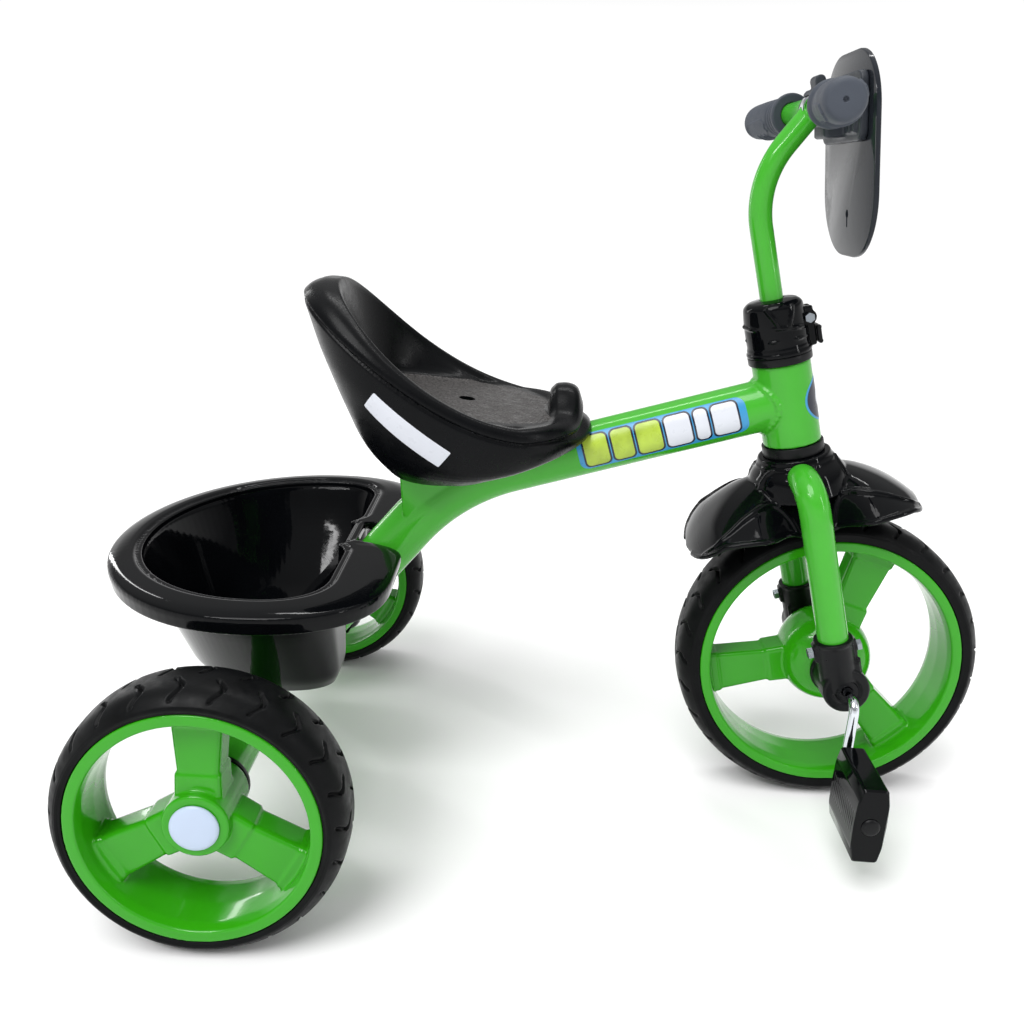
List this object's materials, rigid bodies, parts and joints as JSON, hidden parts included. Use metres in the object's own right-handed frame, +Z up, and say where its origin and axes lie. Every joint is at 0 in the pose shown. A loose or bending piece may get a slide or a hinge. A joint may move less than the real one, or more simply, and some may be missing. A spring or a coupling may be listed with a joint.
{
  "type": "children's tricycle",
  "caption": "Children's tricycle: bent tube frame, bucket seat, rear basket, free rear wheels and a pedalled front wheel in a steered fork with a front shield.",
  "frame": {"origin": "centre of the bounding box in plan, on the ground under the tyres", "axes": "+X forward, +Y to the rider's left, +Z up"},
  "size_m": [0.716, 0.445, 0.6057],
  "materials": {
    "green_paint": "gloss light green enamel",
    "green_plastic": "semi-gloss green moulding",
    "gloss_black": "high-gloss black moulding",
    "seat_black": "satin black moulding",
    "satin_black": "satin black moulding",
    "foam_tyre": "matt black foam",
    "grey_grip": "soft matt grey",
    "chrome": "plated",
    "steel": "zinc plated",
    "white_nylon": "off-white",
    "smoked_plastic": "smoked, semi-clear"
  },
  "bodies": {
    "body": {"frame": "green_paint", "rear_axle": "steel", "seat": "seat_black", "basket": "gloss_black", "seat_bolt_rear": "steel", "seat_bolt_front": "steel", "basket_screw_left": "steel", "basket_screw_right": "steel", "axle_bush_left": "satin_black", "axle_bush_right": "satin_black", "lower_head_bush": "satin_black", "upper_head_bush": "satin_black", "rear_axle_nut_left": "steel", "rear_axle_nut_right": "steel"},
    "steering": {"fork": "green_paint", "fender": "gloss_black", "handlebar": "green_paint", "stem_clamp": "gloss_black", "clamp_latch": "satin_black", "clamp_bolt": "steel", "clamp_nut": "steel", "shield_plate": "smoked_plastic", "shield_bracket": "satin_black", "bar_strap": "chrome", "shield_screw_left": "steel", "grip_left": "grey_grip", "axle_bracket_left": "satin_black", "crank_bush_left": "satin_black", "bracket_bolt_left": "steel", "bracket_nut_left": "steel", "shield_screw_right": "steel", "grip_right": "grey_grip", "axle_bracket_right": "satin_black", "crank_bush_right": "satin_black", "bracket_bolt_right": "steel", "bracket_nut_right": "steel"},
    "front_wheel": {"front_tyre": "foam_tyre", "front_rim": "green_plastic", "crank": "chrome", "pedal_cap_left": "satin_black", "pedal_cap_right": "satin_black"},
    "pedal_left": {"pedal_left": "satin_black"},
    "pedal_right": {"pedal_right": "satin_black"},
    "rear_wheel_left": {"rear_tyre_left": "foam_tyre", "rear_rim_left": "green_plastic", "rear_hub_cap_left": "white_nylon"},
    "rear_wheel_right": {"rear_tyre_right": "foam_tyre", "rear_rim_right": "green_plastic", "rear_hub_cap_right": "white_nylon"}
  },
  "joints": [
    {"name": "steer", "type": "hinge", "parent": "body", "child": "steering", "pos_m": [0.233, 0, 0.125], "axis": [-0.2267, 0, 0.974], "range_deg": [-50, 50]},
    {"name": "front_wheel_spin", "type": "hinge", "parent": "steering", "child": "front_wheel", "pos_m": [0.233, 0, 0.125], "axis": [0, 1, 0], "continuous": true},
    {"name": "pedal_left_spin", "type": "hinge", "parent": "front_wheel", "child": "pedal_left", "pos_m": [0.23604, 0.1245, 0.18492], "axis": [0, 1, 0], "continuous": true},
    {"name": "pedal_right_spin", "type": "hinge", "parent": "front_wheel", "child": "pedal_right", "pos_m": [0.22996, -0.1245, 0.06508], "axis": [0, 1, 0], "continuous": true},
    {"name": "rear_wheel_left_spin", "type": "hinge", "parent": "body", "child": "rear_wheel_left", "pos_m": [-0.231, 0.198, 0.0985], "axis": [0, 1, 0], "continuous": true},
    {"name": "rear_wheel_right_spin", "type": "hinge", "parent": "body", "child": "rear_wheel_right", "pos_m": [-0.231, -0.198, 0.0985], "axis": [0, 1, 0], "continuous": true}
  ]
}
